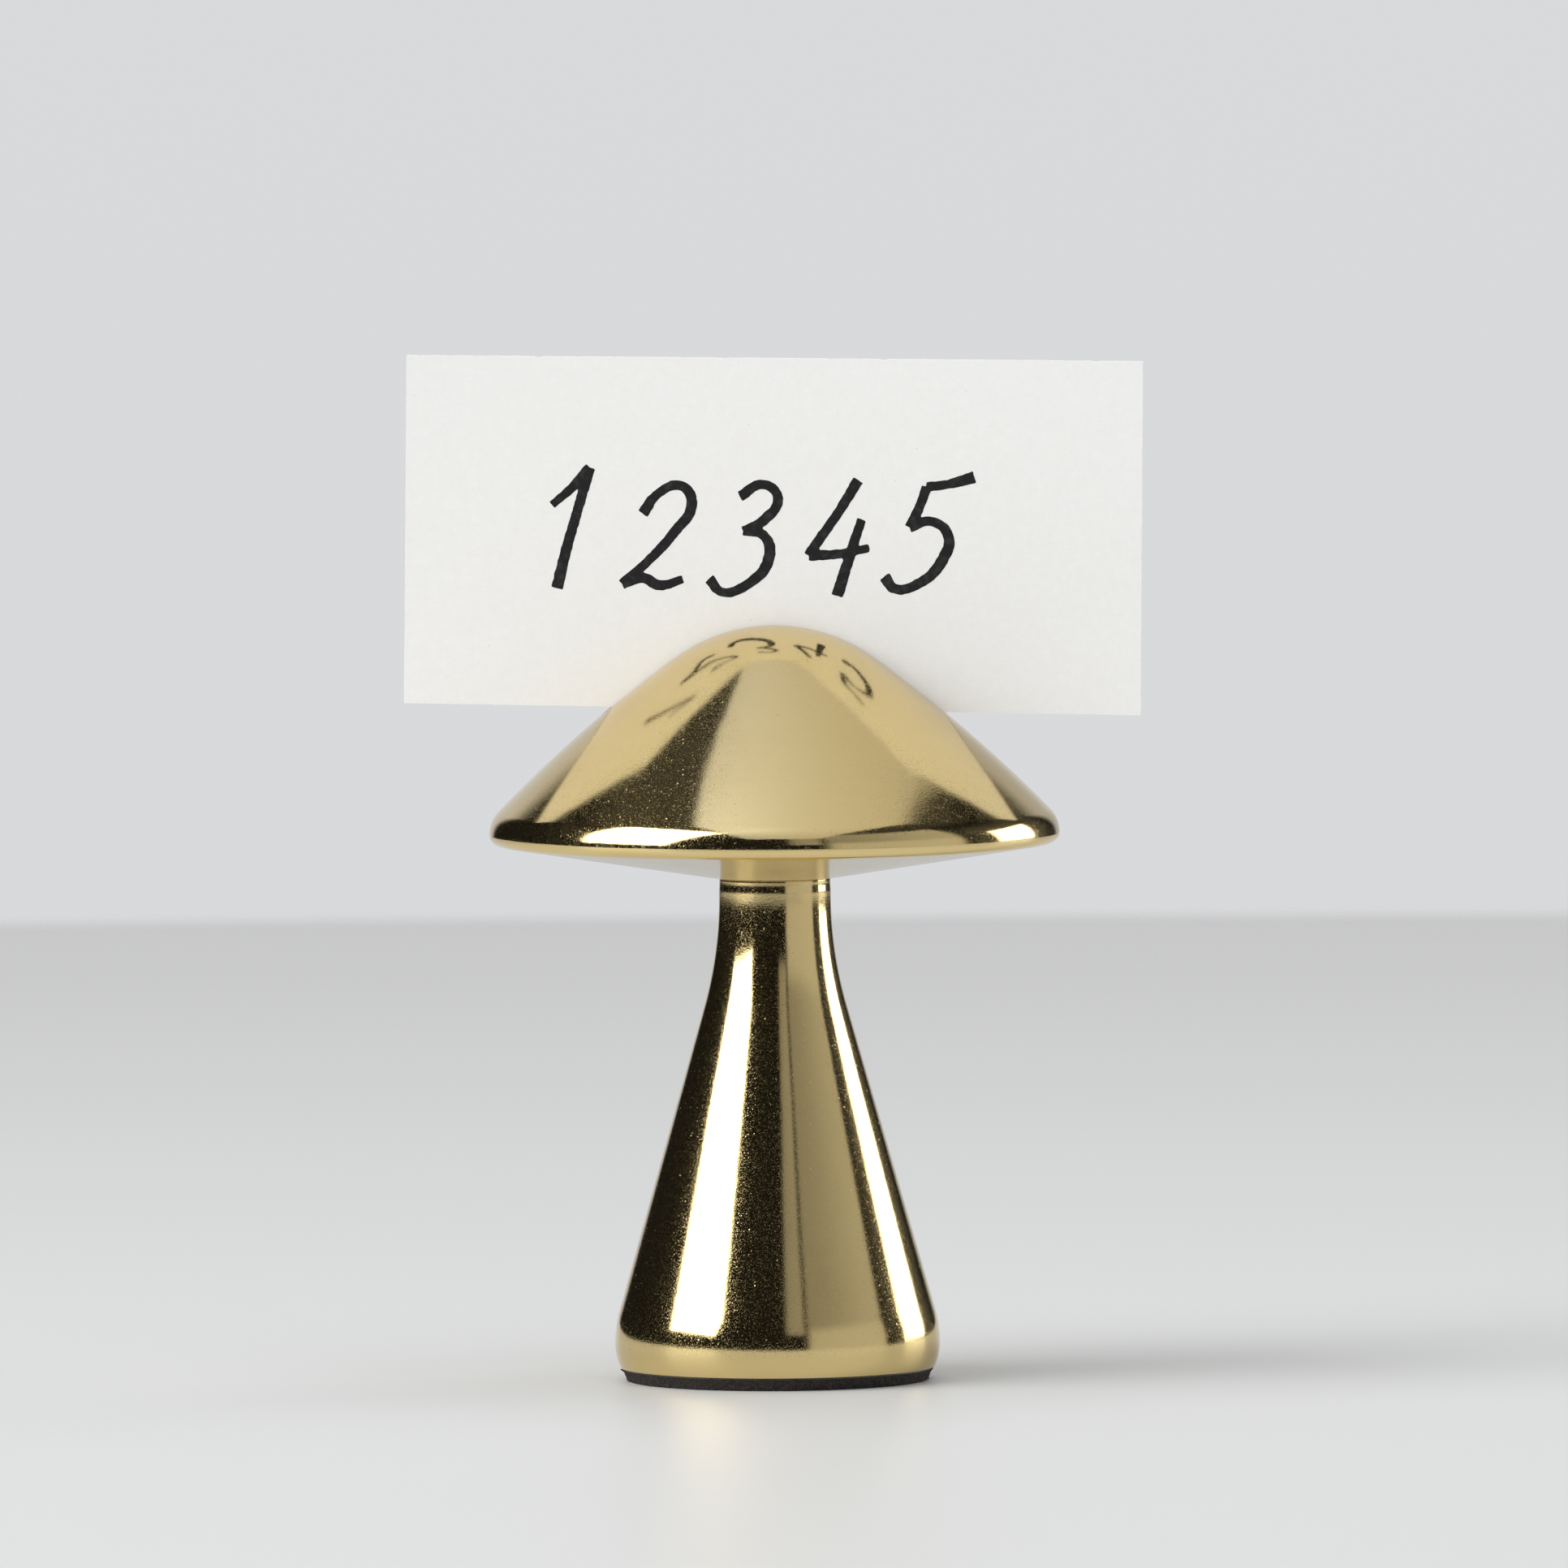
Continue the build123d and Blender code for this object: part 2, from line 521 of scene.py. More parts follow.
@dataclass(frozen=True)
class PenInk(Finish):
    """Black brush-pen ink, soaked unevenly into the card."""

    name: str = "pen_ink"
    tint: Colour = (0.009, 0.009, 0.01, 1.0)
    thin: Colour = (0.028, 0.027, 0.028, 1.0)
    specular: float = 0.3
    grain_height: float = 0.006

    def inputs(self, g: Graph, place: Socket) -> dict[str, Any]:
        """Draws dense ink with thin patches.

        Args:
            g: the material's tree.
            place: place on the piece.

        Returns:
            Inputs of the Principled shader.
        """
        cloud = g.noise(place, scale=1.8, detail=3.0)
        return {
            "Base Color": g.mix(g.remap(cloud, 0.45, 0.75), self.tint, self.thin),
            "Roughness": g.remap(cloud, 0.3, 0.7, to_low=0.5, to_high=0.75),
            "Specular IOR Level": self.specular,
            "Normal": g.bump((g.noise(place, scale=9.0), self.grain_height)),
        }


class Lathe:
    """Traces a profile with one moving vertex and spins it about the vertical axis, in millimetres."""

    def __init__(self, radius: float, height: float) -> None:
        """Starts the profile at a point.

        Args:
            radius: distance of the point from the axis.
            height: height of the point.
        """
        self.bm = bmesh.new()
        self.tip = self.bm.verts.new((radius, 0.0, height))

    def line(self, radius: float, height: float, steps: int = 1) -> None:
        """Draws a straight run to a point.

        Args:
            radius: distance of the point from the axis.
            height: height of the point.
            steps: number of equal steps.
        """
        stride = (Vector((radius, 0.0, height)) - self.tip.co) / steps
        for _ in range(steps):
            grown = bmesh.ops.extrude_vert_indiv(self.bm, verts=[self.tip])
            self.tip = grown["verts"][0]
            bmesh.ops.translate(self.bm, verts=[self.tip], vec=stride)

    def arc(self, centre: Point, degrees: float, steps: int) -> None:
        """Swings the tip about a centre.

        Args:
            centre: radius and height of the centre.
            degrees: how far it swings, anticlockwise where positive.
            steps: number of equal steps.
        """
        swept = bmesh.ops.spin(
            self.bm,
            geom=[self.tip],
            cent=(centre[0], 0.0, centre[1]),
            axis=(0.0, -1.0, 0.0),
            angle=math.radians(degrees),
            steps=steps,
        )
        self.tip = next(v for v in swept["geom_last"] if isinstance(v, bmesh.types.BMVert))

    def turn(self, segments: int) -> Mesh:
        """Spins the profile into a closed form.

        Args:
            segments: number of facets round the axis.

        Returns:
            The turned mesh, its normals outwards.
        """
        bm = self.bm
        bmesh.ops.spin(
            bm,
            geom=bm.verts[:] + bm.edges[:],
            cent=(0.0, 0.0, 0.0),
            axis=(0.0, 0.0, 1.0),
            angle=math.tau,
            steps=segments,
            use_merge=True,
        )
        bmesh.ops.remove_doubles(bm, verts=bm.verts[:], dist=MERGE)
        bmesh.ops.recalc_face_normals(bm, faces=bm.faces[:])
        return bm


def link(name: str, data: bpy.types.ID) -> bpy.types.Object:
    """Makes an object and puts it in the scene.

    Args:
        name: the object's name.
        data: its mesh, curve, lamp or camera.

    Returns:
        The object, at the origin.
    """
    made = bpy.data.objects.new(name, data)
    bpy.context.scene.collection.objects.link(made)
    return made


def heading(centre: Point, point: Point) -> float:
    """Gives the angle of a point seen from a centre, in degrees."""
    return math.degrees(math.atan2(point[1] - centre[1], point[0] - centre[0]))


@dataclass
class Piece:
    """A finished mesh object of the part and how it is tied to the frame."""

    name: str
    body: Body
    replaces: tuple[str, ...] = ()
    slot: Slot | None = None
    sharp: float = 32.0

    def finish(self, bm: Mesh, materials: Iterable[bpy.types.Material]) -> bpy.types.Object:
        """Turns a mesh in millimetres into an object at the origin that rides on its body.

        Args:
            bm: the mesh, which is used up.
            materials: materials in the order of the faces' indices.

        Returns:
            The object.
        """
        bmesh.ops.scale(bm, vec=(MM, MM, MM), verts=bm.verts[:])
        limit = math.radians(self.sharp)
        for face in bm.faces:
            face.smooth = True
        for edge in bm.edges:
            edge.smooth = edge.calc_face_angle(0.0) < limit
        mesh = bpy.data.meshes.new(self.name)
        bm.to_mesh(mesh)
        bm.free()
        for material in materials:
            mesh.materials.append(material)
        made = link(self.name, mesh)
        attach(made, self.body.value)
        if self.replaces:
            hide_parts(*self.replaces)
        LOG.info("%s: %d faces on %s", self.name, len(mesh.polygons), self.body.value)
        return made


@dataclass
class Cap:
    """Domed cap of three tangent arcs over a shallow cone, with the card slot sawn across its crown."""

    seat: float = 42.2
    apex: float = 63.5
    radius: float = 23.942
    rim_level: float = 46.0
    crown_radius: float = 14.1
    flank_radius: float = 114.0
    rim_radius: float = 2.7
    edge_radius: float = 0.85
    neck_radius: float = 4.7
    hole_radius: float = 2.03
    hole_top: float = 51.2
    slot_floor: float = 56.05
    slot_half: float = 0.5
    saw_margin: float = 2.0
    lip: float = 0.15
    lip_steps: tuple[float, ...] = (0.0, 0.12, 0.3, 0.55, 1.0)
    lip_foot: float = 0.2
    under_normal: float = -0.95
    segments: int = 224
    crown_steps: int = 52
    flank_steps: int = 56
    rim_steps: int = 32
    edge_steps: int = 12
    cone_steps: int = 24

    def build(self) -> Mesh:
        """Turns the cap and saws its slot.

        Returns:
            The cap's mesh.
        """
        bm = self.turned()
        self.saw(bm)
        return bm

    def turned(self) -> Mesh:
        """Traces the profile from the apex down to the tapped hole and spins it.

        Returns:
            The cap's mesh, without its slot.
        """
        crown = (0.0, self.apex - self.crown_radius)
        rim = (self.radius - self.rim_radius, self.rim_level)
        edge = (self.radius - self.edge_radius, self.rim_level)
        neck = (self.neck_radius, self.seat)
        meets = intersect_sphere_sphere_2d(
            crown, self.flank_radius - self.crown_radius, rim, self.flank_radius - self.rim_radius
        )
        flank = min((tuple(p) for p in meets), key=sum)
        crown_end, flank_end = heading(flank, crown), heading(flank, rim)
        cone = heading(neck, edge) - math.degrees(math.asin(self.edge_radius / math.dist(edge, neck)))
        lathe = Lathe(0.0, self.apex)
        lathe.arc(crown, crown_end - 90.0, self.crown_steps)
        lathe.arc(flank, flank_end - crown_end, self.flank_steps)
        lathe.arc(rim, -flank_end, self.rim_steps)
        lathe.arc(edge, cone - 90.0, self.edge_steps)
        lathe.line(*neck, self.cone_steps)
        lathe.line(self.hole_radius, self.seat)
        lathe.line(self.hole_radius, self.hole_top)
        lathe.line(0.0, self.hole_top)
        return lathe.turn(self.segments)

    def saw(self, bm: Mesh) -> None:
        """Cuts the slot across the crown, closes its walls and floor, and breaks its lips.

        Args:
            bm: the turned cap.
        """
        below = self.slot_floor - self.saw_margin
        for side in (-1.0, 1.0):
            for step in self.lip_steps:
                offset = side * (self.slot_half + step * self.lip)
                self.score(bm, self.above(bm, below), (0.0, offset, 0.0), (0.0, 1.0, 0.0))
        strip = self.above(bm, below, self.slot_half)
        self.score(bm, strip, (0.0, 0.0, self.slot_floor), (0.0, 0.0, 1.0))
        waste = self.above(bm, self.slot_floor, self.slot_half)
        bmesh.ops.delete(bm, geom=waste, context="FACES")
        bmesh.ops.remove_doubles(bm, verts=bm.verts[:], dist=2 * MERGE)
        self.break_lips(bm)
        self.close(bm)

    def above(self, bm: Mesh, level: float, half: float = math.inf) -> list[bmesh.types.BMFace]:
        """Picks faces of the crown.

        Args:
            bm: the cap.
            level: height that they are above.
            half: distance from the slot's middle that they are within.

        Returns:
            The faces.
        """
        middles = ((face, face.calc_center_median()) for face in bm.faces)
        return [face for face, middle in middles if middle.z > level and abs(middle.y) < half]

    def score(self, bm: Mesh, faces: list[bmesh.types.BMFace], point: Triple, normal: Triple) -> None:
        """Draws the line where a plane meets some faces.

        Args:
            bm: the cap.
            faces: faces that may be cut.
            point: a point of the plane.
            normal: the plane's normal.
        """
        edges = dict.fromkeys(e for f in faces for e in f.edges)
        verts = dict.fromkeys(v for f in faces for v in f.verts)
        geometry = [*verts, *edges, *faces]
        bmesh.ops.bisect_plane(bm, geom=geometry, dist=MERGE, plane_co=point, plane_no=normal)

    def break_lips(self, bm: Mesh) -> None:
        """Rounds the dome down into the slot walls.

        Args:
            bm: the cap with the slot open.
        """
        bm.normal_update()
        for vert in bm.verts:
            inset = abs(vert.co.y) - self.slot_half
            if vert.co.z <= self.slot_floor + self.lip_foot or not -ON_PLANE < inset < self.lip:
                continue
            away = self.lip - max(inset, 0.0)
            drop = self.lip - math.sqrt(self.lip**2 - away**2)
            vert.co -= drop * Vector((vert.normal.x, 0.0, vert.normal.z)).normalized()

    def close(self, bm: Mesh) -> None:
        """Fills the walls and the floor of the open slot.

        Args:
            bm: the cap with the slot open.
        """
        rim = [e for e in bm.edges if e.is_boundary]
        floor: list[bmesh.types.BMEdge] = []
        filled: list[bmesh.types.BMFace] = []
        for side in (-1.0, 1.0):
            wall = side * self.slot_half
            run = [e for e in rim if all(abs(v.co.y - wall) < ON_PLANE for v in e.verts)]
            ends = sorted({v for e in run for v in e.verts}, key=lambda v: v.co.x)
            floor.append(bm.edges.new((ends[0], ends[-1])))
            filled += bmesh.ops.edgeloop_fill(bm, edges=[*run, floor[-1]])["faces"]
        floor += [e for e in rim if e.is_boundary]
        filled += bmesh.ops.edgeloop_fill(bm, edges=floor)["faces"]
        for face in filled:
            face.material_index = Coat.SAWN
        bmesh.ops.recalc_face_normals(bm, faces=bm.faces[:])

    def dress(
        self, gold: bpy.types.Material, sawn: bpy.types.Material, under: bpy.types.Material
    ) -> bpy.types.Object:
        """Builds the cap and gives it its finishes.

        Args:
            gold: the polished finish.
            sawn: the finish inside the slot and the tapped hole.
            under: the finish of the cone below the rim, whose darker colour is painted shade.

        Returns:
            The cap's object.
        """
        bm = self.build()
        for face in bm.faces:
            middle = face.calc_center_median()
            if math.hypot(middle.x, middle.y) < self.neck_radius and middle.z < self.slot_floor:
                face.material_index = Coat.SAWN
            # faces that look down take the darker gold copy, which is painted shade
            elif face.normal.z < self.under_normal:
                face.material_index = Coat.UNDER
        piece = Piece("cap_turned", Body.HOLDER, ("cap",), Slot.GOLD)
        return piece.finish(bm, (gold, sawn, under))


@dataclass
class Stem:
    """Flared stem with a rounded foot and neck, bored for the screw."""

    bottom: float = 1.1
    top: float = 42.2
    base_radius: float = 13.65
    base_level: float = 3.1
    foot_inset: float = 0.45
    hip_radius: float = 10.3
    flare_radius: float = 34.4
    neck_radius: float = 4.7
    neck_length: float = 1.3
    neck_edge: float = 0.05
    relief_length: float = 0.27
    swell_radius: float = 4.5
    swell_turn: float = 5.0
    bore_radius: float = 2.15
    counterbore_radius: float = 5.0
    washer_seat: float = 6.5
    segments: int = 192
    edge_steps: int = 6
    relief_steps: int = 2
    neck_steps: int = 3
    flare_steps: int = 44
    taper_steps: int = 40
    hip_steps: int = 28
    foot_steps: int = 16

    def build(self) -> Mesh:
        """Traces the profile from the bore over the neck to the foot and spins it.

        Returns:
            The stem's mesh.
        """
        hip = (self.base_radius - self.hip_radius, self.base_level)
        flare = (self.neck_radius + self.flare_radius, self.top - self.neck_length)
        lean = heading(hip, flare) - math.degrees(
            math.acos((self.hip_radius + self.flare_radius) / math.dist(hip, flare))
        )
        slant = math.radians(lean)
        taper_foot = (hip[0] + self.hip_radius * math.cos(slant), hip[1] + self.hip_radius * math.sin(slant))
        drop = self.base_level - self.bottom
        foot_radius = (self.foot_inset**2 + drop**2) / (2 * self.foot_inset)
        foot = (self.base_radius - foot_radius, self.base_level)
        foot_turn = math.degrees(math.asin(drop / foot_radius))
        lathe = Lathe(self.bore_radius, self.top)
        self.neck(lathe)
        lathe.line(self.neck_radius, flare[1], self.neck_steps)
        lathe.arc(flare, lean, self.flare_steps)
        lathe.line(*taper_foot, self.taper_steps)
        lathe.arc(hip, -lean, self.hip_steps)
        lathe.arc(foot, -foot_turn, self.foot_steps)
        lathe.line(self.counterbore_radius, self.bottom)
        lathe.line(self.counterbore_radius, self.washer_seat)
        lathe.line(self.bore_radius, self.washer_seat)
        lathe.line(self.bore_radius, self.top)
        return lathe.turn(self.segments)

    def neck(self, lathe: Lathe) -> None:
        """Draws the stem's flat top, the short relief below the cap and the swell into the neck.

        Args:
            lathe: the profile, which ends at the bore's upper edge.
        """
        turn, swell = math.radians(self.swell_turn), self.swell_radius
        relief = self.neck_radius - 2.0 * swell * (1.0 - math.cos(turn))
        shoulder = self.top - self.neck_edge
        lathe.line(relief - self.neck_edge, self.top)
        lathe.arc((relief - self.neck_edge, shoulder), -90.0, self.edge_steps)
        lathe.line(relief, shoulder - self.relief_length, self.relief_steps)
        lathe.arc((relief + swell, shoulder - self.relief_length), self.swell_turn, self.edge_steps)
        tip = lathe.tip.co
        centre = (tip.x - swell * math.cos(turn), tip.z - swell * math.sin(turn))
        lathe.arc(centre, -self.swell_turn, self.edge_steps)

    def dress(self, gold: bpy.types.Material, sawn: bpy.types.Material) -> bpy.types.Object:
        """Builds the stem and gives it its finishes.

        Args:
            gold: the polished finish.
            sawn: the finish of the bore.

        Returns:
            The stem's object.
        """
        bm = self.build()
        for face in bm.faces:
            middle = face.calc_center_median()
            if math.hypot(middle.x, middle.y) < self.bore_radius:
                face.material_index = Coat.SAWN
        return Piece("stem_turned", Body.HOLDER, ("stem",), Slot.GOLD).finish(bm, (gold, sawn))


@dataclass
class FootPad:
    """Die-cut foam pad whose edge leans in and is torn into small burrs."""

    thickness: float = 0.95
    top_radius: float = 13.0
    lean: float = 0.45
    band: float = 0.6
    tear_depth: float = 0.5
    burr: float = 0.12
    burr_scale: float = 3.2
    burr_fractal: Fractal = (0.9, 2.1, 3)
    spike: float = 0.9
    spike_scale: float = 1.7
    spike_seed: float = 4.0
    spike_from: float = 0.36
    fray_width: float = 0.9
    frays: tuple[Point, ...] = ((-177.0, 0.13), (-172.0, 0.1), (-3.0, 0.12), (-9.0, 0.1), (64.0, 0.12))
    segments: int = 480
    face_steps: int = 3
    band_steps: int = 4
    edge_steps: int = 9

    def build(self) -> Mesh:
        """Turns the pad and roughens its cut edge.

        Returns:
            The pad's mesh.
        """
        foot = self.top_radius - self.lean
        lathe = Lathe(0.0, self.thickness)
        lathe.line(self.top_radius - self.band, self.thickness, self.face_steps)
        lathe.line(self.top_radius, self.thickness, self.band_steps)
        lathe.line(foot, 0.0, self.edge_steps)
        lathe.line(foot - self.band, 0.0, self.band_steps)
        lathe.line(0.0, 0.0, self.face_steps)
        bm = lathe.turn(self.segments)
        for vert in bm.verts:
            self.tear(vert)
        bm.normal_update()
        return bm

    def tear(self, vert: bmesh.types.BMVert) -> None:
        """Pushes a vertex of the cut edge in or out.

        Args:
            vert: vertex of the pad, moved in place.
        """
        across = math.hypot(vert.co.x, vert.co.y)
        share = vert.co.z / self.thickness
        edge = self.top_radius - self.lean * (1.0 - share)
        near = max(0.0, 1.0 - (edge - across) / self.tear_depth)
        if near == 0.0:
            return
        rough = noise.fractal(vert.co * self.burr_scale, *self.burr_fractal)
        spot = Vector((vert.co.x * self.spike_scale, vert.co.y * self.spike_scale, self.spike_seed))
        spike = max(0.0, noise.noise(spot) - self.spike_from) * self.spike
        turn = math.degrees(math.atan2(vert.co.y, vert.co.x))
        for azimuth, length in self.frays:
            off = (turn - azimuth + 180.0) % 360.0 - 180.0
            spike += length * math.exp(-((off / self.fray_width) ** 2))
        corner = (2.0 * share - 1.0) ** 2
        push = near * (self.burr * rough + spike * corner)
        vert.co.x *= 1.0 + push / across
        vert.co.y *= 1.0 + push / across

    def dress(self, foam: bpy.types.Material) -> bpy.types.Object:
        """Args:
            foam: the foam's finish.

        Returns:
            The pad's object.
        """
        piece = Piece("pad_foam", Body.HOLDER, ("base_pad",), Slot.FOAM, sharp=60.0)
        made = piece.finish(self.build(), (foam,))
        return made


@dataclass
class Fixings:
    """Hidden screw, washers and adhesive film, which keep their CAD shapes."""

    slots: dict[str, Slot] = field(
        default_factory=lambda: {
            "cap_screw": Slot.STEEL,
            "spring_washer": Slot.STEEL,
            "flat_washer": Slot.STEEL,
            "pad_adhesive": Slot.FILM,
        }
    )

    def dress(self, steel: bpy.types.Material, film: bpy.types.Material) -> None:
        """Gives each CAD node its finish.

        Args:
            steel: finish of the screw and the washers.
            film: finish of the adhesive.
        """
        for name, slot in self.slots.items():
            material = steel if slot is Slot.STEEL else film
            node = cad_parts[name]
            node.data.materials.clear()
            node.data.materials.append(material)
            LOG.info("%s: CAD shape in %s", name, material.name)


@dataclass
class PlaceCard:
    """Card cut by hand a little out of square, with a number drawn on it in brush pen."""

    foot_left: Point = (-31.04, 57.1)
    foot_right: Point = (30.8, 55.7)
    top_right: Point = (31.15, 85.5)
    top_left: Point = (-30.63, 86.4)
    thickness: float = 0.4
    bow: float = 0.3
    bow_from: float = 64.0
    bow_rise: float = 22.0
    bow_half: float = 31.0
    columns: int = 220
    rows: int = 104
    ragged_scale: float = 0.7
    ragged_seed: float = 6.0
    ragged_fractal: Fractal = (0.8, 2.0, 4)
    ragged_top: float = 0.05
    ragged_foot: float = 0.03
    ragged_side: float = 0.04
    trim: float = 0.05
    nick: float = 0.3
    nick_scale: float = 0.9
    nick_seed: float = 7.0
    nick_from: float = 0.3
    edge_up: float = 0.02
    edge_across: float = 0.01
    pen: float = 0.43
    wobble: float = 0.05
    wobble_scale: float = 2.4
    wobble_seed: int = 1
    film: float = 0.008
    number: str = "12345"
    number_foot: Point = (-20.2, 66.8)
    pitch: float = 7.5
    slant: float = 14.0

    def bend(self, x: float, z: float) -> float:
        """Gives how far the card bows towards its face at a place."""
        up = max(0.0, (z - self.bow_from) / self.bow_rise)
        return -self.bow * up * (x / self.bow_half) ** 2

    def cut(self, across: float, up: float) -> Vector:
        """Gives the place of a point of the sheet.

        Args:
            across: share of the width, from the left.
            up: share of the height, from the foot.

        Returns:
            The place in millimetres, on the card's face.
        """
        foot = Vector(self.foot_left).lerp(Vector(self.foot_right), across)
        head = Vector(self.top_left).lerp(Vector(self.top_right), across)
        x, z = foot.lerp(head, up)
        spot = Vector((x * self.ragged_scale, self.ragged_seed, z * self.ragged_scale))
        ragged = abs(noise.fractal(spot, *self.ragged_fractal))
        nick = max(0.0, noise.noise(Vector((x * self.nick_scale, self.nick_seed, 0.0))) - self.nick_from)
        at_top = max(0.0, 1.0 - (1.0 - up) / self.edge_up)
        at_foot = max(0.0, 1.0 - up / self.edge_up)
        at_side = max(0.0, 1.0 - min(across, 1.0 - across) / self.edge_across)
        z -= at_top * (self.trim + self.ragged_top * ragged + self.nick * nick)
        z += at_foot * self.ragged_foot * ragged
        x -= math.copysign(at_side * self.ragged_side * ragged, x)
        return Vector((x, self.bend(x, z) - self.thickness / 2, z))

    def build(self) -> Mesh:
        """Cuts the sheet and gives it its thickness.

        Returns:
            The card's mesh.
        """
        bm = bmesh.new()
        bmesh.ops.create_grid(bm, x_segments=self.columns, y_segments=self.rows, size=0.5)
        for vert in bm.verts:
            vert.co = self.cut(vert.co.x + 0.5, vert.co.y + 0.5)
        back = bmesh.ops.extrude_face_region(bm, geom=bm.faces[:])["geom"]
        moved = [v for v in back if isinstance(v, bmesh.types.BMVert)]
        bmesh.ops.translate(bm, verts=moved, vec=(0.0, self.thickness, 0.0))
        bmesh.ops.recalc_face_normals(bm, faces=bm.faces[:])
        return bm

    def pen_path(self) -> bpy.types.Object:
        """Draws the strokes as round tubes in the card's plane.

        Returns:
            A curve object in millimetres.
        """
        curve = bpy.data.curves.new("pen_path", "CURVE")
        curve.dimensions = "3D"
        curve.bevel_depth = self.pen
        curve.bevel_resolution = 4
        curve.resolution_u = 10
        curve.use_fill_caps = True
        lean = math.tan(math.radians(self.slant))
        for place, digit in enumerate(self.number):
            for stroke in DIGITS[digit]:
                spline = curve.splines.new("BEZIER")
                spline.bezier_points.add(len(stroke) - 1)
                for point, (x, z, pressure) in zip(spline.bezier_points, stroke):
                    point.co = (x + z * lean + place * self.pitch, 0.0, z)
                    point.radius = pressure
                    point.handle_left_type = point.handle_right_type = "AUTO"
        return link("pen_path", curve)

    def ink(self) -> Mesh:
        """Melts the strokes into one film of ink on the card's face.

        Returns:
            The ink's mesh.
        """
        path = self.pen_path()
        melt = path.modifiers.new("melt", "REMESH")
        melt.mode = "VOXEL"
        melt.voxel_size = 0.075
        bpy.context.view_layer.update()
        drawn = bpy.data.meshes.new_from_object(path.evaluated_get(bpy.context.evaluated_depsgraph_get()))
        bm = bmesh.new()
        bm.from_mesh(drawn)
        bpy.data.objects.remove(path)
        bpy.data.meshes.remove(drawn)
        every_way = {"use_axis_x": True, "use_axis_y": True, "use_axis_z": True}
        bmesh.ops.smooth_vert(bm, verts=bm.verts[:], factor=0.5, **every_way)
        noise.seed_set(self.wobble_seed)
        for vert in bm.verts:
            wobble = noise.noise_vector(vert.co * self.wobble_scale) * self.wobble
            x = vert.co.x + wobble.x + self.number_foot[0]
            z = vert.co.z + wobble.z + self.number_foot[1]
            depth = self.film * (vert.co.y / self.pen - 1.0)
            vert.co = (x, self.bend(x, z) - self.thickness / 2 + depth, z)
        bmesh.ops.recalc_face_normals(bm, faces=bm.faces[:])
        return bm

    def dress(self, stock: bpy.types.Material, ink: bpy.types.Material) -> None:
        """Builds the card and its number, and gives them their finishes.

        Args:
            stock: the card's finish.
            ink: the ink's finish.
        """
        card = Piece("card_cut", Body.CARD, ("place_card",), Slot.CARD, sharp=40.0)
        card.finish(self.build(), (stock,))
        Piece("card_number", Body.CARD, sharp=180.0).finish(self.ink(), (ink,))


def area_lamp(name: str, width: float, depth: float, radiance: float) -> bpy.types.Object:
    """Makes a panel of even light that the camera doesn't see.

    Args:
        name: the lamp's name.
        width: its width, in metres.
        depth: its other side.
        radiance: how bright its face is.

    Returns:
        The lamp's object, at the origin and facing down.
    """
    lamp = bpy.data.lights.new(name, "AREA")
    lamp.shape = "RECTANGLE"
    lamp.size, lamp.size_y = width, depth
    lamp.energy = math.pi * radiance * lamp.size * lamp.size_y
    made = link(name, lamp)
    made.visible_camera = False
    return made


@dataclass(frozen=True)
class SoftBox:
    """A lamp panel that faces the object, placed by where it is seen from there, in degrees."""

    name: str
    azimuth: float
    elevation: float
    width: float
    height: float
    radiance: float
    distance: float = 1.0

    def light(self, aim: Vector) -> None:
        """Hangs the panel.

        Args:
            aim: the point that it faces, in metres.
        """
        turn, rise = math.radians(self.azimuth), math.radians(self.elevation)
        towards = Vector((math.sin(turn) * math.cos(rise), -math.cos(turn) * math.cos(rise), math.sin(rise)))
        sides = (2.0 * self.distance * math.tan(math.radians(a) / 2.0) for a in (self.width, self.height))
        made = area_lamp(self.name, *sides, self.radiance)
        made.location = aim + towards * self.distance
        made.rotation_mode = "QUATERNION"
        made.rotation_quaternion = (-towards).to_track_quat("-Z", "Y")


@dataclass(frozen=True)
class Glow:
    """A soft-edged lit patch of the room that only shows in mirrors, placed in degrees."""

    turn: Point
    rise: Point
    radiance: Point
    soft: float

    def paint(self, g: Graph, turn: Socket, rise: Socket) -> Socket:
        """Adds the patch to a world.

        Args:
            g: the world's tree.
            turn: azimuth of a direction, 0 towards the camera and 90 to the right.
            rise: elevation of the direction.

        Returns:
            The patch's radiance in that direction.
        """
        level = g.remap(turn, *self.turn, *self.radiance)
        for angle, (low, high) in ((turn, self.turn), (rise, self.rise)):
            level = g.math("MULTIPLY", level, g.remap(angle, low - self.soft, low + self.soft))
            level = g.math("MULTIPLY", level, g.remap(angle, high + self.soft, high - self.soft))
        return level


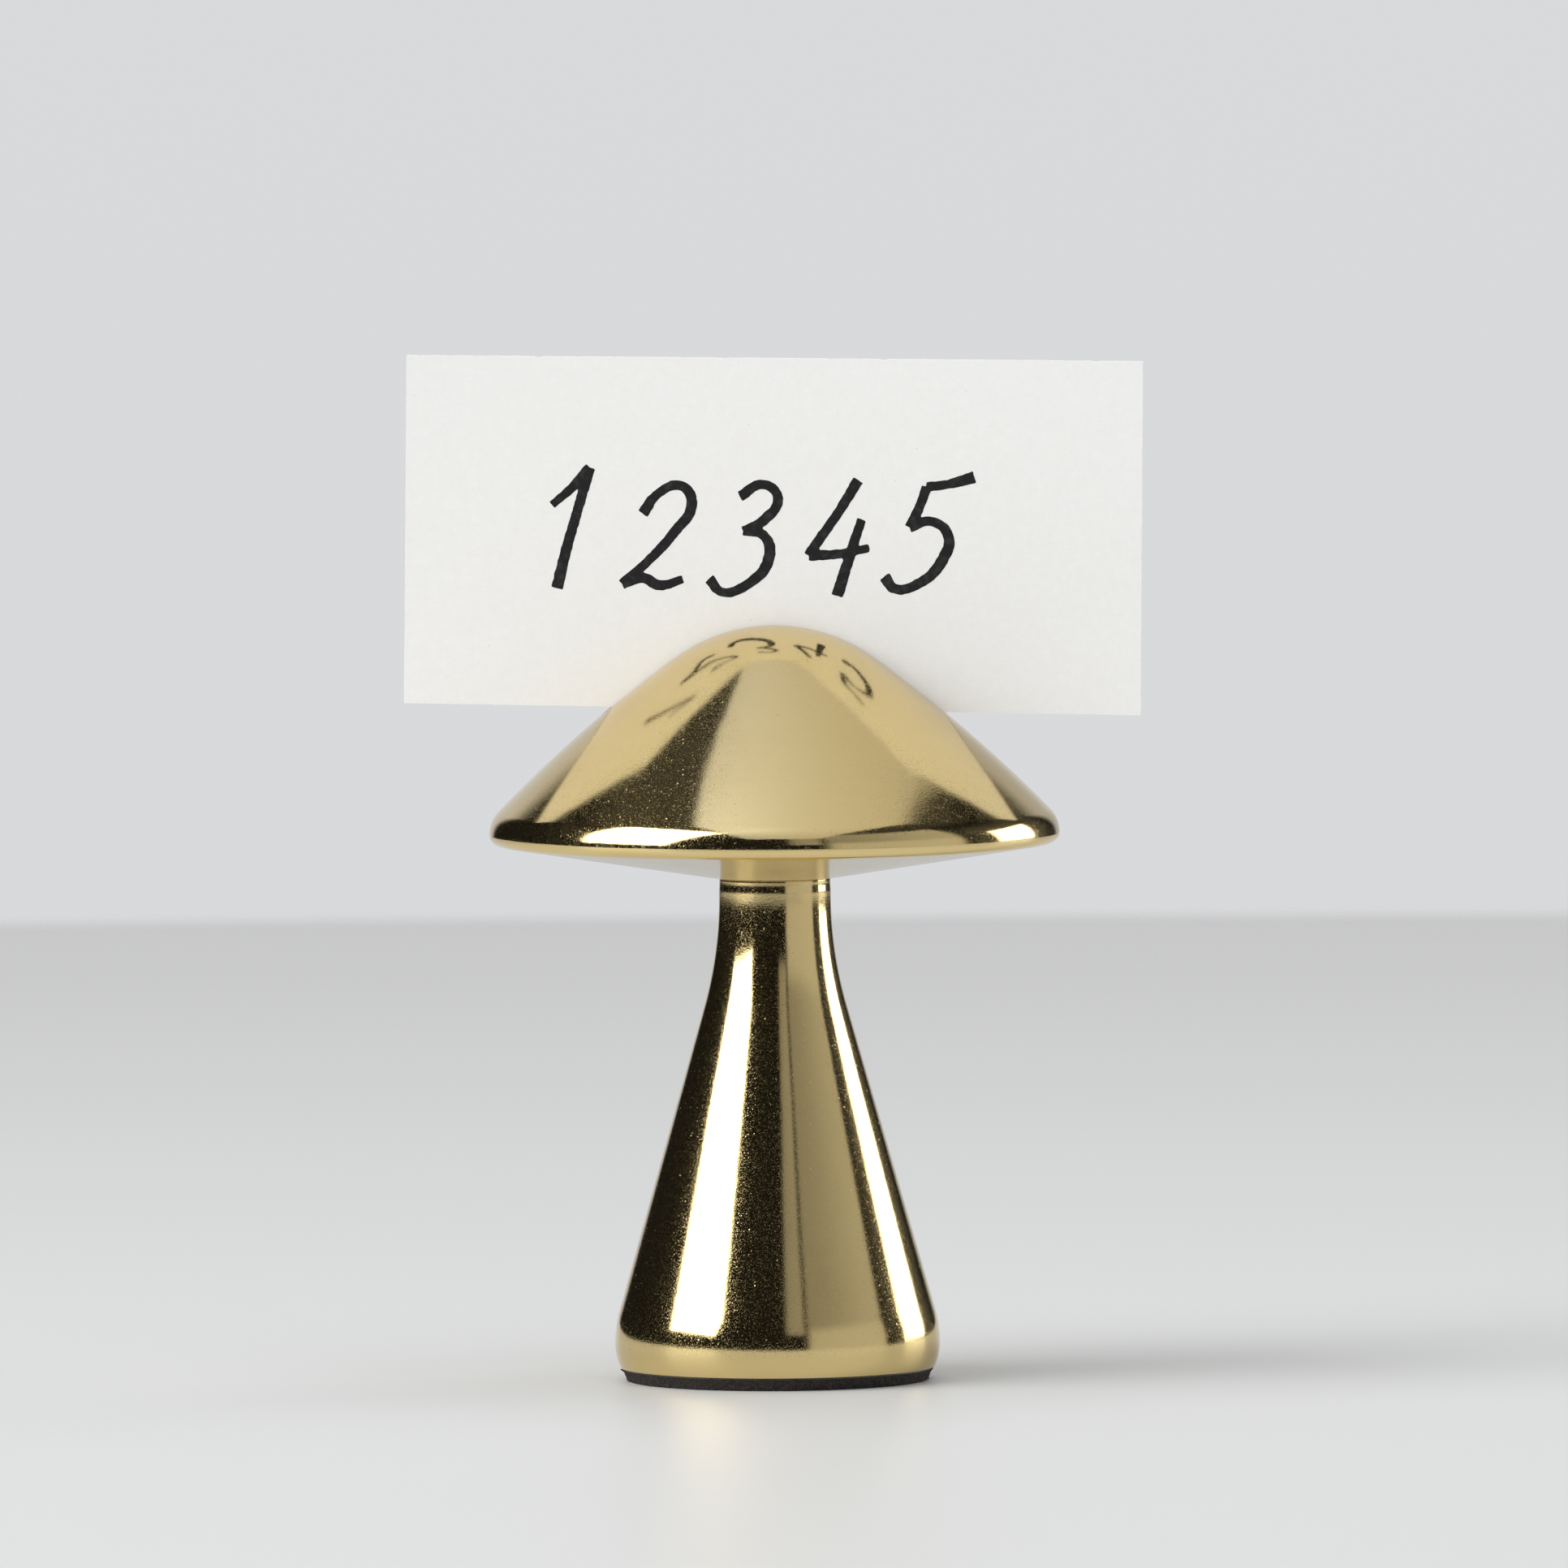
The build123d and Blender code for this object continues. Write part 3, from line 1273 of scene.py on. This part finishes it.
@dataclass(frozen=True)
class Scrim:
    """A level softbox with round corners as it shows in mirrors, in metres at one metre above the object."""

    left: float = -0.315
    right: float = 0.5
    front: float = -1.35
    back: float = 0.75
    corner: float = 0.16
    soft: float = 0.008
    lowest: float = 0.05
    lamp: Triple = (-0.35, -0.29, 1.0)
    lamp_glow: float = 0.16
    lamp_core: float = 0.28
    radiance: float = 0.49
    slant: float = 0.38
    slant_from: float = 0.08
    cool: Colour = (0.95, 1.0, 1.17, 1.0)
    warm: Colour = (1.01, 1.0, 0.97, 1.0)

    def paint(self, g: Graph, direction: Socket, z: Socket) -> tuple[Socket, Socket]:
        """Adds the softbox to a world.

        Args:
            g: the world's tree.
            direction: the direction that is looked in.
            z: its upward part.

        Returns:
            A mask of the softbox and its light.
        """
        spot = g.scaled(direction, g.math("DIVIDE", 1.0, g.math("MAXIMUM", z, self.lowest)))
        right, back = (g.add("SeparateXYZ", {0: spot}, axis) for axis in "XY")
        reach = g.add("VectorMath", {0: spot, 1: self.lamp}, "Value", operation="DISTANCE")
        fall = g.math("DIVIDE", self.lamp_glow, g.math("MAXIMUM", reach, self.lamp_core))
        level = g.math("ADD", fall, self.radiance)
        behind = g.math("MAXIMUM", g.math("SUBTRACT", back, self.slant_from), 0.0)
        lean = g.math("MULTIPLY", behind, -self.slant)
        spot = g.vector("ADD", spot, g.add("CombineXYZ", {"X": lean}))
        middle = ((self.left + self.right) / 2, (self.front + self.back) / 2, 1.0)
        half = ((self.right - self.left) / 2 - self.corner, (self.back - self.front) / 2 - self.corner, 1.0)
        away = g.vector("ABSOLUTE", g.vector("SUBTRACT", spot, middle))
        away = g.vector("MAXIMUM", g.vector("SUBTRACT", away, half))
        past = g.add("VectorMath", {0: away}, "Value", operation="LENGTH")
        mask = g.remap(past, self.corner + self.soft, self.corner - self.soft)
        tone = g.mix(g.remap(right, self.left, self.right), self.cool, self.warm)
        return mask, g.scaled(tone, level)


@dataclass
class Studio:
    """Pale table top, darker towards its front and back as painted shade, pale surroundings and soft lamp
    panels.

    A pair of numbers is where a blend starts and ends: metres on the table and overhead, degrees in mirrors.
    """

    aim: Vector = field(default_factory=lambda: Vector((0.0, 0.0, 0.045)))
    table_radius: float = 1.0
    table_far: float = 0.6245
    table_sink: float = 1e-5
    table_segments: int = 256
    table_roughness: float = 0.44
    table_specular: float = 0.14
    # the table's colour darkens from the near tone towards the front and the far edge as painted shade
    table_front_painted_shade: Colour = (0.35, 0.36, 0.38, 1.0)
    table_near: Colour = (0.568, 0.575, 0.573, 1.0)
    table_back_painted_shade: Colour = (0.492, 0.492, 0.493, 1.0)
    front_shade_span: Point = (-0.25, -0.7)
    back_shade_from: float = -0.1
    fade: float = 0.03
    ambient: float = 0.6
    room: float = 0.01
    pale: Colour = (0.7, 0.707, 0.722, 1.0)
    pale_low: Colour = (0.69, 0.696, 0.71, 1.0)
    pale_span: Point = (-0.06, 0.02)
    behind_left: Colour = (0.64, 0.64, 0.65, 1.0)
    behind_right: Colour = (0.5, 0.5, 0.51, 1.0)
    behind_middle: Point = (-1.0, 1.0)
    behind_lean: float = 0.33
    behind_edge: Point = (155.5, 164.0)
    behind_top: Point = (42.0, 30.0)
    behind_pale: Point = (165.0, 178.0)
    panels: tuple[SoftBox, ...] = (
        SoftBox("key_panel", -65.0, 36.0, width=42.0, height=52.0, radiance=4.5, distance=2.0),
        SoftBox("back_panel", 116.0, 10.5, width=27.0, height=25.0, radiance=3.6),
    )
    scrim: Scrim = Scrim()
    overhead_x: Point = (-0.33, 0.62)
    overhead_y: Point = (-1.0, 0.75)
    overhead_height: float = 1.0
    overhead_radiance: float = 0.76
    glows: tuple[Glow, ...] = (
        Glow(turn=(6.5, 19.5), rise=(14.0, 50.0), radiance=(0.3, 0.36), soft=2.0),
        Glow(turn=(22.5, 84.0), rise=(-25.0, 46.0), radiance=(0.3, 0.48), soft=2.0),
        Glow(turn=(22.5, 84.0), rise=(-25.0, 18.0), radiance=(0.24, 0.12), soft=5.0),
        Glow(turn=(90.0, 146.0), rise=(-12.0, 36.0), radiance=(0.05, 0.05), soft=8.0),
        Glow(turn=(-200.0, 200.0), rise=(48.0, 100.0), radiance=(0.035, 0.035), soft=5.0),
    )

    def build(self) -> None:
        """Lays the table, hangs the lamps and paints the surroundings."""
        self.table()
        for panel in self.panels:
            panel.light(self.aim)
        self.ceiling()
        self.surroundings()

    def table(self) -> None:
        """Lays a round table top that fades into the background at its edge, darker towards the front and
        the back as painted shade.
        """
        middle = self.table_far - self.table_radius
        bm = bmesh.new()
        bmesh.ops.create_circle(bm, cap_ends=True, segments=self.table_segments, radius=self.table_radius)
        bmesh.ops.translate(bm, verts=bm.verts[:], vec=(0.0, middle, -self.table_sink))
        mesh = bpy.data.meshes.new("table_top")
        bm.to_mesh(mesh)
        bm.free()
        material = bpy.data.materials.new("table_top")
        g = Graph(material)
        place = g.add("TexCoord", {}, "Object")
        depth = g.add("SeparateXYZ", {0: place}, "Y")
        across = g.add("VectorMath", {0: place, 1: (0.0, middle, 0.0)}, "Value", operation="DISTANCE")
        # painted shade: the near tone darkens towards the far edge and towards the front
        tone = g.mix(g.remap(depth, self.back_shade_from, self.table_far), self.table_near, self.table_back_painted_shade)
        shader = g.add("BsdfPrincipled", {
            "Base Color": g.mix(g.remap(depth, *self.front_shade_span), tone, self.table_front_painted_shade),
            "Roughness": self.table_roughness,
            "Specular IOR Level": self.table_specular,
        })
        clear = g.add("BsdfTransparent", {})
        edge = g.remap(across, self.table_radius - self.fade, self.table_radius)
        g.add("OutputMaterial", {"Surface": g.add("MixShader", {0: edge, 1: shader, 2: clear})})
        mesh.materials.append(material)
        link("table_top", mesh)

    def ceiling(self) -> None:
        """Hangs the overhead panel level above the object."""
        (left, right), (front, back) = self.overhead_x, self.overhead_y
        made = area_lamp("overhead_panel", right - left, back - front, self.overhead_radiance)
        made.location = self.aim + Vector(((left + right) / 2, (front + back) / 2, self.overhead_height))
        made.visible_glossy = False

    def surroundings(self) -> None:
        """Paints the world: pale to look at, a dim room with lit patches in mirrors, else even light."""
        world = bpy.data.worlds.new("studio")
        bpy.context.scene.world = world
        g = Graph(world)
        direction = g.add("TexCoord", {}, "Generated")
        x, y, z = (g.add("SeparateXYZ", {0: direction}, axis) for axis in "XYZ")
        turn = g.math("MULTIPLY", g.math("ARCTAN2", x, g.math("MULTIPLY", y, -1.0)), math.degrees(1.0))
        rise = g.math("MULTIPLY", g.math("ARCSINE", z), math.degrees(1.0))
        level: Any = self.room
        for glow in self.glows:
            level = g.math("ADD", glow.paint(g, turn, rise), level)
        above, light = self.scrim.paint(g, direction, z)
        lit = g.mix(above, g.add("CombineColor", {0: level, 1: level, 2: level}), light)
        spread = g.total((g.math("ABSOLUTE", turn), 1.0), (rise, self.behind_lean))
        behind = g.math("MULTIPLY", g.remap(spread, *self.behind_edge), g.remap(rise, *self.behind_top))
        beside = g.mix(g.remap(turn, *self.behind_middle), self.behind_left, self.behind_right)
        backdrop = g.mix(g.remap(spread, *self.behind_pale), beside, self.pale)
        mirrored = g.mix(behind, lit, backdrop)
        seen = g.mix(g.remap(z, *self.pale_span), self.pale_low, self.pale)
        path = g.tree.nodes.new("ShaderNodeLightPath")
        shiny = g.math("MAXIMUM", path.outputs["Is Glossy Ray"], path.outputs["Is Transmission Ray"])
        even = (self.ambient, self.ambient, self.ambient, 1.0)
        colour = g.mix(path.outputs["Is Camera Ray"], g.mix(shiny, even, mirrored), seen)
        g.add("OutputWorld", {"Surface": g.add("Background", {"Color": colour, "Strength": 1.0})})


@dataclass
class PhotoCamera:
    """Camera at the photograph's viewing angle, for a square picture."""

    target: Triple = (0.00082, 0.0, 0.0501)
    elevation: float = 3.4
    distance: float = 2.5
    focal_pixels: float = 36700.0
    frame_pixels: float = 1932.0
    roll: float = -0.35
    sensor: float = 36.0
    clip: Point = (0.1, 20.0)

    def build(self) -> None:
        """Places the camera and makes it the scene's own."""
        rise = math.radians(self.elevation)
        back = Vector((0.0, -math.cos(rise), math.sin(rise)))
        data = bpy.data.cameras.new("photo_camera")
        data.sensor_width = self.sensor
        data.lens = self.focal_pixels / self.frame_pixels * self.sensor
        data.clip_start, data.clip_end = self.clip
        made = link("photo_camera", data)
        made.location = Vector(self.target) + back * self.distance
        made.rotation_mode = "QUATERNION"
        level = (-back).to_track_quat("-Z", "Y")
        made.rotation_quaternion = level @ Quaternion((0.0, 0.0, 1.0), math.radians(self.roll))
        bpy.context.scene.camera = made


def main() -> None:
    """Builds the part's pieces, the studio and the camera."""
    logging.basicConfig(level=logging.INFO, format="%(name)s: %(message)s")
    gold, sawn = GoldPlate().material(), SawnGold().material()
    Cap().dress(gold, sawn, SHADED_UNDERSIDE.material())
    Stem().dress(gold, sawn)
    FootPad().dress(FoamRubber().material())
    Fixings().dress(ZincSteel().material(), AcrylicFilm().material())
    PlaceCard().dress(CardStock().material(), PenInk().material())
    Studio().build()
    PhotoCamera().build()
    bpy.context.scene.view_settings.view_transform = "Standard"


if __name__ == "__main__":
    main()
